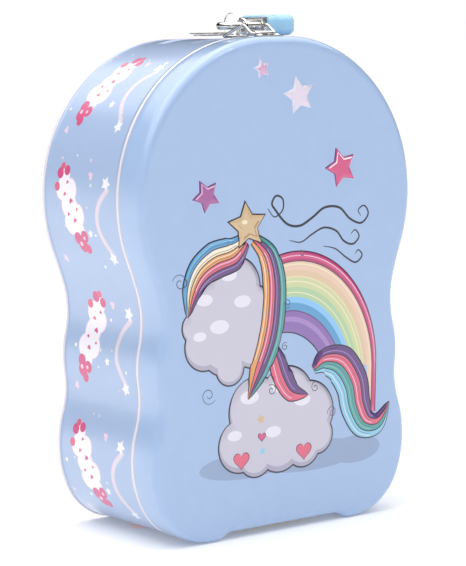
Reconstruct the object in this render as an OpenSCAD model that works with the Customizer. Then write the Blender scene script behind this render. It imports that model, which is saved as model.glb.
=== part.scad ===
// Tin money box: a waisted, two-footed tinplate box that stands on edge. The front
// is a shallow lid hinged at the bottom. A wire hasp on the lid drops over a staple
// on the box, and a small padlock with two keys goes through the staple.
// Millimetres. +Z up, lid face towards -Y, origin under the middle of the box.

/* [Box] */
// Width across the upper lobe
body_w = 125; // [120:1:130]
// Depth from the raised front art to the back rim
box_d = 65; // [60:1:75]
// Depth of the lid, art to rim
lid_d = 14.3; // [13:0.1:18]
// Sheet thickness
tin = 0.4; // [0.3:0.05:0.5]
// Rounding of the lid's front edge
lid_edge_r = 3; // [2:0.5:4]
// Height of the pressed art above the lid face
relief_h = 0.8; // [0.4:0.1:1]
// Length of the coin slot
slot_len = 36; // [30:1:40]
// Width of the coin slot
slot_w = 5; // [4.5:0.5:6]

/* [Hinge] */
// Width of the hinge
hinge_w = 36; // [30:1:40]
// Hinge pin diameter
pin_d = 1.0; // [0.8:0.1:1.2]

/* [Hasp and staple] */
// Wire diameter of the hasp
hasp_wire_d = 1.1; // [1:0.1:1.2]
// Half width between the hasp's two arms
hasp_half_w = 5.4; // [5.2:0.1:5.8]
// Wire diameter of the staple
staple_wire_d = 1.2; // [1:0.1:1.3]

/* [Padlock] */
// Shackle rod diameter
shackle_d = 2.8; // [2.4:0.1:2.8]
// Distance between the shackle's legs
shackle_pitch = 10; // [9.5:0.1:10.5]
// Length of the plastic cover
cover_len = 12.9; // [12:0.1:20]
// Width of the plastic cover
cover_w = 18; // [17.5:0.1:19]
// Thickness of the plastic cover
cover_t = 7.6; // [7.4:0.1:8]
// Key thickness
key_t = 0.6; // [0.5:0.1:0.6]

/* [Hidden] */
$fn = 48;
eps = 0.01;

// ---- Outline -----------------------------------------------------------------
// Half of the outline is a chain of tangent arcs from the top of the dome down to
// the foot: [radius, turn, flat], where flat is the straight stretch after the arc.
// A positive radius bulges outwards, a negative one is a hollow. The last two arcs
// lift the line from the foot to the flat recess between the feet.
k = body_w / 125;
top_flat = 4.5 * k;
dome = [58 * k, 111.5, 0];
shoulder = [-120 * k, 5.5, 0];
waist = [-35.5 * k, 30.5, 0];
belly = [37.5 * k, 22.5, 0];
low_waist = [-33 * k, 26.5, 0];
hip = [40 * k, 40.5, 0];
foot_corner = [24.3 * k, 68, 2 * k];
foot_lift = [6.5 * k, 36, 0];
recess_blend = [-6.5 * k, 36, 0];
chain = [dome, shoulder, waist, belly, low_waist, hip, foot_corner, foot_lift, recess_blend];
foot_arc = 6;                      // index of the foot corner in the chain
step_turn = 7.5;                   // largest turn between two outline points

// Unit vectors along a heading measured clockwise from +X, and to its right
function along(h) = [cos(h), -sin(h)];
function right_of(h) = [-sin(h), -cos(h)];
// Each arc with its first heading and its centre, the dome's top at z = 0
function arc_frames() = [
    for (i = 0, h = 0, c = [top_flat, -chain[0][0]];
         i < len(chain);
         h = h + sign(chain[i][0]) * chain[i][1],
         c = i + 1 < len(chain)
             ? c + (chain[i + 1][0] - chain[i][0]) * right_of(h) + chain[i][2] * along(h)
             : c,
         i = i + 1)
    [chain[i][0], chain[i][1], chain[i][2], h, c]];
frames = arc_frames();
body_h = frames[foot_arc][0] - frames[foot_arc][4].y; // the foot stands at z = 0

// Point of an arc frame after a turn of t, moved inwards by d
function arc_point(f, t, d) =
    [0, body_h] + f[4] - (f[0] - d) * right_of(f[3] + sign(f[0]) * t);
// Points of one half, moved inwards by d, from the top to the recess
function half_outline(d) = [
    for (f = frames)
        let (n = ceil(f[1] / step_turn))
        for (i = [0 : f[2] > 0 ? n : n - 1]) arc_point(f, f[1] * i / n, d),
    arc_point(frames[len(frames) - 1], chain[len(chain) - 1][1], d)];
// Whole outline as [x, z] points, clockwise seen from the front
function outline(d = 0) =
    let (p = half_outline(d), n = len(p))
    concat(p, [for (i = [n - 1 : -1 : 0]) [-p[i].x, p[i].y]]);
recess_z = half_outline(0)[len(half_outline(0)) - 1].y;

// ---- Shared sizes --------------------------------------------------------------
front_y = -box_d / 2;
back_y = box_d / 2;
face_y = front_y + relief_h;       // plain lid face
rim_y = front_y + lid_d;           // rear edge of the lid's skirt
bead_y = rim_y + 0.3;              // front of the bead on the box
bead_w = 1.5;
wall_in = 0.5;                     // wall is this far inside the lid's outline
neck_gap = 0.25;                   // clearance between the lid's skirt and the neck
neck_d = tin + neck_gap;           // outer offset of the neck
neck_len = 6.8;
rim_w = 1.5;                       // rolled rim at the back
top_z = body_h;                    // lid's top line
wall_top_z = body_h - wall_in;

// ---- Helpers -------------------------------------------------------------------
// A closed band around the outline. Each profile entry is [inward offset, y].
module band(profile) {
    n = len(outline());
    m = len(profile);
    pts = [for (p = profile) for (q = outline(p[0])) [q.x, p[1], q.y]];
    faces = [for (r = [0 : m - 1]) for (i = [0 : n - 1])
        let (s = (r + 1) % m, j = (i + 1) % n)
        [r * n + i, s * n + i, s * n + j, r * n + j]];
    polyhedron(pts, faces, convexity = 10);
}
// A closed pan: profile runs from the rim along the outside to the face, then from
// the face along the inside back to the rim. turn_at is the first inside entry.
// facing is 1 for a pan whose face is at the front, -1 for one at the back.
module pan(profile, turn_at, facing = 1) {
    n = len(outline());
    m = len(profile);
    pts = [for (p = profile) for (q = outline(p[0])) [q.x, p[1], q.y]];
    sides = [for (r = [0 : m - 1]) if (r != turn_at - 1) for (i = [0 : n - 1])
        let (s = (r + 1) % m, j = (i + 1) % n)
        [r * n + i, s * n + i, s * n + j, r * n + j]];
    outer_cap = [for (i = [n - 1 : -1 : 0]) (turn_at - 1) * n + i];
    inner_cap = [for (i = [0 : n - 1]) turn_at * n + i];
    faces = concat(sides, [outer_cap, inner_cap]);
    polyhedron(pts, facing < 0 ? faces : [for (f = faces) reversed(f)], convexity = 10);
}
// A plate cut from a flat shape in X and Z, from y0 to y1
module plate_y(y0, y1) {
    translate([0, y1, 0]) rotate([90, 0, 0]) linear_extrude(y1 - y0) children();
}
// A round bar between two points that share the same x
module bar_yz(x, a, b, r) {
    d = b - a;
    translate([x, a.x, a.y]) rotate([-atan2(d.x, d.y), 0, 0]) cylinder(r = r, h = norm(d));
}
// Rounds a bend between two bars of radius r
module ball(p, r) { translate(p) sphere(r = 1.05 * r); }
module bar_x(x0, x1, y, z, r) { translate([x0, y, z]) rotate([0, 90, 0]) cylinder(r = r, h = x1 - x0); }
module box(a, b) { translate(a) cube(b - a); }
// A rivet along Z: shank and a domed head at its lower or upper end
module rivet(p, shank, head_r, up) {
    translate(p) mirror([0, 0, up ? 0 : 1]) {
        cylinder(r = 0.6, h = shank);
        translate([0, 0, shank]) intersection() {
            translate([0, 0, 0.55 - head_r * 1.25]) sphere(r = head_r * 1.25);
            cylinder(r = head_r, h = 0.55);
        }
    }
}

// ---- Lid -------------------------------------------------------------------------
// Quarter-round edge of radius r from the skirt at offset d to the face at y
function edge(d, y, r, n) =
    [for (i = [0 : n]) let (a = 90 * i / n) [d + r * (1 - cos(a)), y + r * (1 - sin(a))]];
function reversed(v) = [for (i = [len(v) - 1 : -1 : 0]) v[i]];

// Pressed art, as raised pads: a rainbow, two clouds, flowing ribbons and stars.
// Each arch of the rainbow: centre x and z, half width, half height.
rainbow_outer = [6, 60, 38.3, 43.4];
rainbow_inner = [0, 45, 22, 28.5];
rainbow_left = 112;                // angle where the rainbow dips behind the cloud
rainbow_dip = 32;                  // angle where its inner arch dips behind a ribbon
rainbow_foot = [43.5, 39.5];
function arch(q, a0) =
    [for (a = [a0 : 4 : rainbow_left]) [q[0] + q[2] * cos(a), q[1] + q[3] * sin(a)]];
// Clouds, as circles: x, z, radius
cloud_edge = 0.5;
upper_cloud = [[-36, 72, 8.5], [-33, 84, 10.5], [-22, 92, 11], [-16, 82, 11], [-26, 73, 12.5],
               [-15, 70, 7.5], [-40, 79, 5.5], [-25, 63, 6]];
lower_cloud = [[-21, 34, 9.5], [-13, 46, 12.5], [1, 49, 12], [11, 43, 11.5], [-14, 29.5, 7.5],
               [-3, 33, 10.5], [8, 31, 8], [15, 34, 7]];
// Ribbons, as points along the middle: x, z, width
side_ribbon = [[13.6, 58.5, 3], [19, 61, 10], [26.5, 59, 14.5], [31.8, 51.5, 14.5], [33.6, 43, 13.5],
               [37.6, 36, 11.5], [44.6, 35.2, 7.5], [50.5, 42.5, 0.6]];
long_ribbon = [[-13, 109, 4], [-7, 103, 8], [-4.5, 94, 9.5], [-4.8, 83, 10], [-7, 72, 10],
               [-12, 61, 8], [-17.5, 51, 0.6]];
front_ribbon = [[-17, 109, 5], [-23, 104.5, 12], [-31, 102.5, 13], [-37.5, 98.5, 11],
                [-41.5, 92, 7.5], [-43.5, 83, 0.6]];
// Stars: x, z, radius, turn of the first point
stars = [[-8.2, 170, 4.1, 176], [8.7, 160, 7.5, 174], [27.9, 132.9, 8.4, 180],
         [-34.1, 125.7, 7, 190], [-16, 114, 9.2, 96]];
star_waist = 0.52;

module star2d(r) {
    polygon([for (i = [0 : 9]) let (q = i % 2 ? star_waist * r : r) q * [cos(36 * i), sin(36 * i)]]);
}
module disc(q) { translate([q[0], q[1]]) circle(r = q[2], $fn = 32); }
module ribbon(path) {
    for (i = [0 : len(path) - 2]) hull() for (k = [i, i + 1])
        disc([path[k][0], path[k][1], path[k][2] / 2]);
}
module art2d() {
    intersection() {
        polygon(outline(lid_edge_r + 1));
        union() {
            polygon(concat([rainbow_foot], arch(rainbow_outer, 0),
                           reversed(arch(rainbow_inner, rainbow_dip))));
            for (q = concat(upper_cloud, lower_cloud)) disc([q[0], q[1], q[2] + cloud_edge]);
            ribbon(side_ribbon);
            ribbon(long_ribbon);
            ribbon(front_ribbon);
            for (q = stars) translate([q[0], q[1]]) rotate(q[3]) star2d(q[2]);
        }
    }
}

module lid_shell() color("lightskyblue") {
    outer = concat([[0, rim_y]], edge(0, face_y, lid_edge_r, 5));
    inner = concat(reversed(edge(tin, face_y + tin, lid_edge_r - tin, 3)), [[tin, rim_y]]);
    union() {
        pan(concat(outer, inner), len(outer));
        plate_y(front_y, face_y + tin / 2) art2d();
    }
}

// ---- Box -------------------------------------------------------------------------
module base_wall() color("lightcyan") difference() {
    b1 = bead_y + bead_w;
    rim0 = back_y - rim_w;
    band([[neck_d, bead_y - neck_len], [neck_d, bead_y],
          [0.25, bead_y], [0, bead_y + 0.3], [0, b1 - 0.3], [0.25, b1],
          [wall_in, b1], [wall_in, rim0], [0.25, rim0], [0, rim0 + 0.3], [0, back_y - 0.3],
          [0.3, back_y], [1.3, back_y], [1.5, back_y - 0.4], [wall_in + tin, rim0 - 0.4],
          [wall_in + tin, b1 + 0.6], [neck_d + tin, b1], [neck_d + tin, bead_y - neck_len]]);
    box([-slot_len / 2, slot_y - slot_w / 2, wall_top_z - 6], [slot_len / 2, slot_y + slot_w / 2, top_z]);
}
slot_y = 17;

// A shallow tray pressed into the back: flange inside the wall, raised border,
// sunk middle
module back_panel() color("lightskyblue") {
    y0 = back_y - rim_w - 0.4;
    in0 = wall_in + tin;
    pan([[in0, y0 - 2.4], [in0, y0], [4.5, y0], [5.5, y0 - 0.6],
         [5.5 + tin, y0 - 0.6 - tin], [4.5, y0 - tin], [in0 + tin, y0 - tin],
         [in0 + tin, y0 - 2.4]], 4, -1);
}

// ---- Hinge -----------------------------------------------------------------------
pin_r = pin_d / 2;
pin_y = rim_y + 1.5;
knuckle_r = 1.1;
pin_z = recess_z / 2;
knuckle_count = 5;
knuckle_gap = 0.2;
knuckle_pitch = hinge_w / knuckle_count;
leaf_len = 7.8;
bore_gap = 0.05;

// Barrel pieces of one leaf, with the tongue that joins each to the leaf
module knuckles(which, tongue_dir) {
    for (i = which) {
        x0 = -hinge_w / 2 + i * knuckle_pitch + knuckle_gap / 2;
        x1 = x0 + knuckle_pitch - knuckle_gap;
        difference() {
            union() {
                bar_x(x0, x1, pin_y, pin_z, knuckle_r);
                box([x0, pin_y + min(0, tongue_dir), pin_z + knuckle_r - tin],
                    [x1, pin_y + max(0, tongue_dir), pin_z + knuckle_r]);
            }
            bar_x(x0 - 1, x1 + 1, pin_y, pin_z, pin_r + bore_gap);
        }
    }
}
module leaf_holes(y) { for (x = hinge_rivet_x) translate([x, y, -1]) cylinder(r = 0.6, h = 6); }
hinge_rivet_x = [-12, 12];
lid_rivet_y = rim_y - 3.4;
base_rivet_y = pin_y + 4.6;

module lid_hinge_leaf() color("silver") union() {
    knuckles([1, 3], -2.3);
    difference() {
        box([-hinge_w / 2, pin_y - leaf_len, recess_z - tin], [hinge_w / 2, rim_y - 0.2, recess_z]);
        leaf_holes(lid_rivet_y);
    }
}
module base_hinge_leaf() color("silver") union() {
    wall_z = recess_z + wall_in;
    riser_y = pin_y + knuckle_r + 0.15;
    knuckles([0, 2, 4], riser_y - pin_y + tin);
    box([-hinge_w / 2, riser_y, pin_z + knuckle_r - tin], [hinge_w / 2, riser_y + tin, wall_z]);
    difference() {
        box([-hinge_w / 2, riser_y, wall_z - tin], [hinge_w / 2, pin_y + leaf_len, wall_z]);
        leaf_holes(base_rivet_y);
    }
}
module lid_hinge_rivets() color("gainsboro") {
    for (x = hinge_rivet_x) rivet([x, lid_rivet_y, recess_z], tin, 1.3, false);
}
module base_hinge_rivets() color("gainsboro") {
    for (x = hinge_rivet_x) rivet([x, base_rivet_y, recess_z + wall_in], tin, 1.3, false);
}
module hinge_pin() color("darkgray") {
    bar_x(-hinge_w / 2 - 0.3, hinge_w / 2 + 0.3, pin_y, pin_z, pin_r);
}

// ---- Hasp and staple -----------------------------------------------------------
hasp_r = hasp_wire_d / 2;
hasp_pivot = [front_y + 10.1, top_z + 1.05];   // y, z
hasp_apex = [front_y + 15, top_z + 4.5];
hasp_tail = [front_y + 27.5, top_z + 0.2];
bracket_t = 0.5;
bracket_half_w = 5.6;
bracket_rivet_x = [-3.9, 3.9];
bracket_rivet_y = hasp_pivot.x - 2.9;

module hasp_wire() color("silver") union() {
    for (s = [-1, 1]) {
        x = s * hasp_half_w;
        bar_yz(x, hasp_pivot, hasp_apex, hasp_r);
        bar_yz(x, hasp_apex, hasp_tail, hasp_r);
        ball([x, hasp_pivot.x, hasp_pivot.y], hasp_r);
        ball([x, hasp_apex.x, hasp_apex.y], hasp_r);
        ball([x, hasp_tail.x, hasp_tail.y], hasp_r);
    }
    bar_x(-hasp_half_w, hasp_half_w, hasp_pivot.x, hasp_pivot.y, hasp_r);
    bar_x(-hasp_half_w, hasp_half_w, hasp_tail.x, hasp_tail.y, hasp_r);
}
module hasp_bracket() color("silver") difference() {
    union() {
        box([-bracket_half_w, hasp_pivot.x - 4.6, top_z],
            [bracket_half_w, hasp_pivot.x - 1.4, top_z + bracket_t]);
        box([-4, hasp_pivot.x - 2, top_z], [4, hasp_pivot.x, top_z + bracket_t]);
        bar_x(-4, 4, hasp_pivot.x, hasp_pivot.y, 1.05);
    }
    bar_x(-5, 5, hasp_pivot.x, hasp_pivot.y, hasp_r + bore_gap);
    for (x = bracket_rivet_x) translate([x, bracket_rivet_y, top_z - 1]) cylinder(r = 0.6, h = 3);
}
module hasp_bracket_rivets() color("gainsboro") {
    for (x = bracket_rivet_x) rivet([x, bracket_rivet_y, top_z], bracket_t, 1.3, true);
}

staple_r = staple_wire_d / 2;
staple_y = front_y + 22.7;
staple_half = 2.6;
staple_top = top_z + 6.9;
plate_t = 0.4;
module staple() color("silver") {
    arc_z = staple_top - staple_r - staple_half;
    for (s = [-1, 1]) translate([0, staple_y + s * staple_half, wall_top_z])
        cylinder(r = staple_r, h = arc_z - wall_top_z);
    translate([0, staple_y, arc_z]) rotate([90, 0, 90]) rotate_extrude(angle = 180)
        translate([staple_half, 0]) circle(r = staple_r);
}
module staple_plate() color("silver") difference() {
    box([-2.4, staple_y - 3.9, wall_top_z], [2.4, staple_y + 3.9, wall_top_z + plate_t]);
    for (s = [-1, 1]) translate([0, staple_y + s * staple_half, wall_top_z - 1])
        cylinder(r = staple_r, h = 3);
}

// ---- Padlock -------------------------------------------------------------------
// It lies flat on the box: the shackle's legs run along X, the lock's far end is
// towards +X. The short front leg goes through the staple.
sh_r = shackle_d / 2;
leg_a_y = staple_y;                       // short leg, in the staple
leg_b_y = staple_y + shackle_pitch;       // long leg
lock_y = (leg_a_y + leg_b_y) / 2;
sh_z = top_z + 4.1;
bend_x = -0.4;
leg_a_end = 11.5;
leg_b_end = 14.4;
lock_x = 8;                               // shackle end of the lock
end_plate_t = 0.6;
case_x = lock_x + end_plate_t;
case_len = cover_len - 0.7;
case_half_w = 7.6;
case_half_t = 3;
leg_gap = 0.06;
bolt_x = 9.8;
bolt_t = 1.2;
bolt_half = 1.5;
bolt_tip_y = leg_a_y + sh_r - 0.8;
bolt_end_y = lock_y + 1.4;
bolt_travel = 1.2;
release = 4;                              // how far the lock drops off the short leg
plug_r = 2.5;
plug_x = 13.6;
bore_b_end = 19.6;                         // bottom of the long leg's bore
cam_r = 0.6;
cam_off = 1.2;

module legs(gap, a_end, b_end, from_x) {
    bar_x(from_x, a_end, leg_a_y, sh_z, sh_r + gap);
    bar_x(from_x, b_end, leg_b_y, sh_z, sh_r + gap);
}
module shackle() color("gainsboro") difference() {
    union() {
        legs(0, leg_a_end, leg_b_end, bend_x);
        translate([bend_x, lock_y, sh_z]) rotate([0, 0, 90]) rotate_extrude(angle = 180)
            translate([shackle_pitch / 2, 0]) circle(r = sh_r);
    }
    // notch for the bolt, with a ramp towards the leg's end that lets it slide out
    box([bolt_x - 0.1, bolt_tip_y - 0.1, sh_z - 3], [bolt_x + bolt_t + 0.1, lock_y, sh_z + 3]);
    translate([bolt_x + bolt_t, bolt_tip_y - 0.1, sh_z - 3])
        rotate([0, 0, atan(bolt_travel / release)]) cube([3, 3, 6]);
}
module lock_end_plate() color("silver") difference() {
    box([lock_x, lock_y - case_half_w, sh_z - case_half_t],
        [case_x, lock_y + case_half_w, sh_z + case_half_t]);
    legs(0.15, lock_x + 2, lock_x + 2, 0);
}
module lock_case() color("darkgray") difference() {
    box([case_x, lock_y - case_half_w, sh_z - case_half_t],
        [case_x + case_len, lock_y + case_half_w, sh_z + case_half_t]);
    legs(leg_gap, 16, bore_b_end, 0);
    bar_x(plug_x - 0.1, 40, lock_y, sh_z, plug_r + leg_gap);
    bar_x(bolt_x - 0.2, plug_x, lock_y, sh_z, 2.2);
    box([bolt_x - 0.1, leg_a_y, sh_z - bolt_half - 0.1],
        [bolt_x + bolt_t + 0.1, bolt_end_y + bolt_travel + 0.1, sh_z + bolt_half + 0.1]);
}
module lock_cover() color("lightskyblue") {
    x0 = lock_x + 1.5;
    x1 = x0 + cover_len;
    r = 2.6;
    difference() {
        // rounded block: corner pillars joined by plain blocks, softened by a hull
        hull() for (x = [x0, x1 - r], s = [-1, 1]) translate([x, lock_y + s * (cover_w / 2 - r), sh_z])
            rotate([0, 90, 0]) hull() {
                translate([cover_t / 2 - r, 0, 0]) cylinder(r = r, h = x == x0 ? eps : r - 1.2, $fn = 32);
                translate([r - cover_t / 2, 0, 0]) cylinder(r = r, h = x == x0 ? eps : r - 1.2, $fn = 32);
                translate([cover_t / 2 - r, 0, 0]) cylinder(r = r - 1.2, h = x == x0 ? eps : r, $fn = 32);
                translate([r - cover_t / 2, 0, 0]) cylinder(r = r - 1.2, h = x == x0 ? eps : r, $fn = 32);
            }
        box([x0 - 1, lock_y - case_half_w, sh_z - case_half_t],
            [case_x + case_len, lock_y + case_half_w, sh_z + case_half_t]);
        bar_x(x0, x1 + 2, lock_y, sh_z, plug_r + 0.5);
    }
}
module lock_bolt() color("goldenrod") difference() {
    box([bolt_x, bolt_tip_y, sh_z - bolt_half], [bolt_x + bolt_t, bolt_end_y, sh_z + bolt_half]);
    // slot for the plug's cam pin, wider behind the pin for its arc
    box([bolt_x - 1, lock_y - cam_r - 0.1, sh_z - 0.8],
        [bolt_x + bolt_t + 1, lock_y + cam_r + 0.35, sh_z + 2]);
}
module lock_plug() color("goldenrod") difference() {
    union() {
        bar_x(plug_x, case_x + case_len + 1, lock_y, sh_z, plug_r);
        bar_x(bolt_x - 0.1, plug_x + 1, lock_y, sh_z + cam_off, cam_r);
    }
    box([plug_x + 3, lock_y - 0.4, sh_z - 1.9], [40, lock_y + 0.4, sh_z + 1.9]);
}
// Coil between the long leg's end and the bottom of its bore
coil_r = 0.85;
coil_wire_r = 0.25;
coil_turns = 5;
coil_sides = 8;
coil_steps = 12;
module shackle_spring() color("silver") {
    x0 = leg_b_end + coil_wire_r + 0.05;
    x1 = bore_b_end - coil_wire_r - 0.05;
    n = coil_turns * coil_steps;
    pts = [for (i = [0 : n]) for (j = [0 : coil_sides - 1])
        let (a = 360 * i / coil_steps, b = 360 * j / coil_sides, rr = coil_r + coil_wire_r * cos(b))
        [x0 + (x1 - x0) * i / n + coil_wire_r * sin(b), leg_b_y + rr * cos(a), sh_z + rr * sin(a)]];
    sides = [for (i = [0 : n - 1]) for (j = [0 : coil_sides - 1])
        let (m = (j + 1) % coil_sides)
        [i * coil_sides + j, i * coil_sides + m, (i + 1) * coil_sides + m, (i + 1) * coil_sides + j]];
    polyhedron(pts, concat(sides, [[for (j = [coil_sides - 1 : -1 : 0]) j],
        [for (j = [0 : coil_sides - 1]) n * coil_sides + j]]), convexity = 10);
}

// ---- Keys ------------------------------------------------------------------------
ring_r = 4.4;
ring_wire_r = 0.35;
ring_x = 2.5;
ring_z = top_z + 4.3;
module key_ring() color("silver") translate([ring_x, leg_b_y, ring_z]) rotate([0, 90, 0])
    rotate_extrude() translate([ring_r, 0]) circle(r = ring_wire_r);

// Height of each key above the top line, and its turn from -X towards +Y
key_lift = [0.8, 1.5];
key_turn = [6, 20];
bow_r = 3.8;
key_len = 13.8;
blade_w = 2.6;
module key(i) {
    dz = top_z + key_lift[i] - ring_z;
    hole_y = leg_b_y + sqrt(ring_r * ring_r - dz * dz);
    translate([ring_x, hole_y, top_z + key_lift[i] - key_t / 2]) rotate([0, 0, 180 - key_turn[i]])
    difference() {
        union() {
            translate([bow_r - 2.2, 0, 0]) cylinder(r = bow_r, h = key_t);
            box([bow_r, -blade_w / 2, 0], [key_len, blade_w / 2, key_t]);
        }
        translate([0, 0, -1]) cylinder(r = 1.5, h = 3);
        for (n = [0 : 3]) translate([key_len - 1.6 - 1.9 * n, -blade_w / 2, -1])
            rotate([0, 0, 45]) translate([-0.5, -0.5, 0]) cube([1 + 0.15 * (n % 2), 1, 3]);
        translate([key_len, blade_w / 2, -1]) rotate([0, 0, 45]) translate([-1, -1, 0]) cube([2, 2, 3]);
    }
}
module key_1() color("silver") key(0);
module key_2() color("silver") key(1);

lid_shell();
lid_hinge_leaf();
lid_hinge_rivets();
hasp_bracket();
hasp_bracket_rivets();
hasp_wire();
base_wall();
back_panel();
base_hinge_leaf();
base_hinge_rivets();
hinge_pin();
staple();
staple_plate();
shackle();
lock_end_plate();
lock_case();
lock_cover();
shackle_spring();
lock_bolt();
lock_plug();
key_ring();
key_1();
key_2();
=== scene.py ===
"""Looks of the tin money box: printed tinplate, wire hasp, mini padlock and keys."""
import math

import bpy
import bmesh
import numpy as np
from mathutils import Matrix, Vector, geometry


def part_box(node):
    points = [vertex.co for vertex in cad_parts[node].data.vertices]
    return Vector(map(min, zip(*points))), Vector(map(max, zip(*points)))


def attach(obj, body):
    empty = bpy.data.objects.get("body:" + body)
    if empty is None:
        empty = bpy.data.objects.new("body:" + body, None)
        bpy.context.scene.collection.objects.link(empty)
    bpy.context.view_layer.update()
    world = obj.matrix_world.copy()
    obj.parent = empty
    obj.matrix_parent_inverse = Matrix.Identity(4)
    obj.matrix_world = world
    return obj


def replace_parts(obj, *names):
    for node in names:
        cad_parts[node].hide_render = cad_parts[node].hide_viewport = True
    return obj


MM = 0.001
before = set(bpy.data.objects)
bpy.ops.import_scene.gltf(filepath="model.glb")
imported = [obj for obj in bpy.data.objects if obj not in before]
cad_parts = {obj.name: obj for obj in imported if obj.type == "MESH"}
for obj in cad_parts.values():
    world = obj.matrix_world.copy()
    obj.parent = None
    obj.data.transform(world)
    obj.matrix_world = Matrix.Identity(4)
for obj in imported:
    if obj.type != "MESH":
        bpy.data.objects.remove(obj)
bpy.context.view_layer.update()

# ---- Sizes, millimetres --------------------------------------------------------
# The box's outline as in the CAD: tangent arcs from the top of the dome to the
# recess between the feet, as (radius, turn in degrees, straight stretch after it).
TOP_FLAT = 4.5
CHAIN = [
    (58, 111.5, 0), (-120, 5.5, 0), (-35.5, 30.5, 0), (37.5, 22.5, 0), (-33, 26.5, 0),
    (40, 40.5, 0), (24.3, 68, 2), (6.5, 36, 0), (-6.5, 36, 0),
]
FOOT_ARC = 6
TIN = 0.4
LID_EDGE_R = 3.0
LID_LOW, LID_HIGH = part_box("lid_shell")
WALL_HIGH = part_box("base_wall")[1]
FRONT_Y = LID_LOW[1] / MM          # top of the pressed art
RELIEF = 0.8
FACE_Y = FRONT_Y + RELIEF          # plain lid face
RIM_Y = LID_HIGH[1] / MM           # rear edge of the lid's skirt
BACK_Y = WALL_HIGH[1] / MM
TOP_Z = LID_HIGH[2] / MM
BEAD_Y = RIM_Y + 0.3
BEAD_W = 1.5
WALL_IN = 0.5
NECK_IN = 0.65
NECK_LEN = 6.8
RIM_W = 1.5
STAR_WAIST = 0.52                  # inner radius of a star, as a share of the outer


# ---- Outline -------------------------------------------------------------------
def arc_frames():
    """Each arc's radius, turn, straight stretch, first heading and centre."""
    heading, centre, frames = 0.0, np.array([TOP_FLAT, -CHAIN[0][0]], float), []
    for i, (radius, turn, flat) in enumerate(CHAIN):
        frames.append((radius, turn, flat, heading, centre.copy()))
        heading += math.copysign(turn, radius)
        if i + 1 < len(CHAIN):
            h = math.radians(heading)
            right = np.array([-math.sin(h), -math.cos(h)])
            along = np.array([math.cos(h), -math.sin(h)])
            centre += (CHAIN[i + 1][0] - radius) * right + flat * along
    return frames


FRAMES = arc_frames()
FOOT_Z = FRAMES[FOOT_ARC][4][1] - FRAMES[FOOT_ARC][0]


def half_outline(inset, step):
    """Points of the right half from top to recess, moved inwards by inset."""
    points = [np.array([x, -inset]) for x in np.linspace(0, TOP_FLAT, 5)[:-1]]
    for n, (radius, turn, flat, heading, centre) in enumerate(FRAMES):
        count = max(2, math.ceil(turn / step))
        for i in range(count + (1 if n == len(FRAMES) - 1 else 0)):
            h = math.radians(heading + math.copysign(turn * i / count, radius))
            points.append(centre - (radius - inset) * np.array([-math.sin(h), -math.cos(h)]))
        if flat:
            h = math.radians(heading + turn)
            end = centre - (radius - inset) * np.array([-math.sin(h), -math.cos(h)])
            points.append(end)
            points.append(end + 0.5 * flat * np.array([math.cos(h), -math.sin(h)]))
    last = points[-1]
    points += [np.array([x, last[1]]) for x in np.linspace(last[0], 0, 21)[1:]]
    points = np.array(points) - [0, FOOT_Z]
    return points * [(LID_HIGH[0] / MM - inset) / (points[:, 0].max()), 1]


def outline(inset=0.0, step=2.0):
    """Closed loop of (x, z) points, clockwise from the top seen from the front."""
    half = half_outline(inset, step)
    return np.concatenate([half, (half * [-1, 1])[-2:0:-1]])


# ---- Materials -------------------------------------------------------------------
def linear(colour):
    """An 8-bit colour as linear values."""
    return [((c / 255 + 0.055) / 1.055) ** 2.4 if c > 10 else c / 3294.6 for c in colour]


def shade(name):
    """A new node material with its Principled shader."""
    mat = bpy.data.materials.new(name)
    mat.use_nodes = True
    return mat, mat.node_tree.nodes["Principled BSDF"]


def add_node(mat, kind, **inputs):
    """A node with some of its inputs set, their names written with underscores."""
    node = mat.node_tree.nodes.new(kind)
    for key, value in inputs.items():
        node.inputs[key.replace("_", " ")].default_value = value
    return node


def noise(mat, scale, detail=3.0, stretch=(1, 1, 1)):
    """Noise in the object's own metres, stretched along an axis if asked."""
    coord = mat.node_tree.nodes.new("ShaderNodeTexCoord")
    mapping = mat.node_tree.nodes.new("ShaderNodeMapping")
    mapping.inputs["Scale"].default_value = stretch
    tex = add_node(mat, "ShaderNodeTexNoise", Scale=scale, Detail=detail, Roughness=0.55)
    mat.node_tree.links.new(coord.outputs["Object"], mapping.inputs["Vector"])
    mat.node_tree.links.new(mapping.outputs["Vector"], tex.inputs["Vector"])
    return tex


def vary_colour(mat, bsdf, tex, low, high):
    """Base colour between two linear colours, picked by a texture."""
    ramp = mat.node_tree.nodes.new("ShaderNodeValToRGB")
    ramp.color_ramp.elements[0].position = 0.3
    ramp.color_ramp.elements[1].position = 0.7
    ramp.color_ramp.elements[0].color = (*low, 1)
    ramp.color_ramp.elements[1].color = (*high, 1)
    mat.node_tree.links.new(tex.outputs["Fac"], ramp.inputs["Fac"])
    mat.node_tree.links.new(ramp.outputs["Color"], bsdf.inputs["Base Color"])
    return ramp


def vary_roughness(mat, bsdf, tex, low, high):
    span = add_node(mat, "ShaderNodeMapRange")
    span.inputs["To Min"].default_value = low
    span.inputs["To Max"].default_value = high
    mat.node_tree.links.new(tex.outputs["Fac"], span.inputs["Value"])
    mat.node_tree.links.new(span.outputs["Result"], bsdf.inputs["Roughness"])


def add_bump(mat, bsdf, tex, strength, distance):
    bump = add_node(mat, "ShaderNodeBump", Strength=strength, Distance=distance)
    mat.node_tree.links.new(tex.outputs["Fac"], bump.inputs["Height"])
    mat.node_tree.links.new(bump.outputs["Normal"], bsdf.inputs["Normal"])


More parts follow.
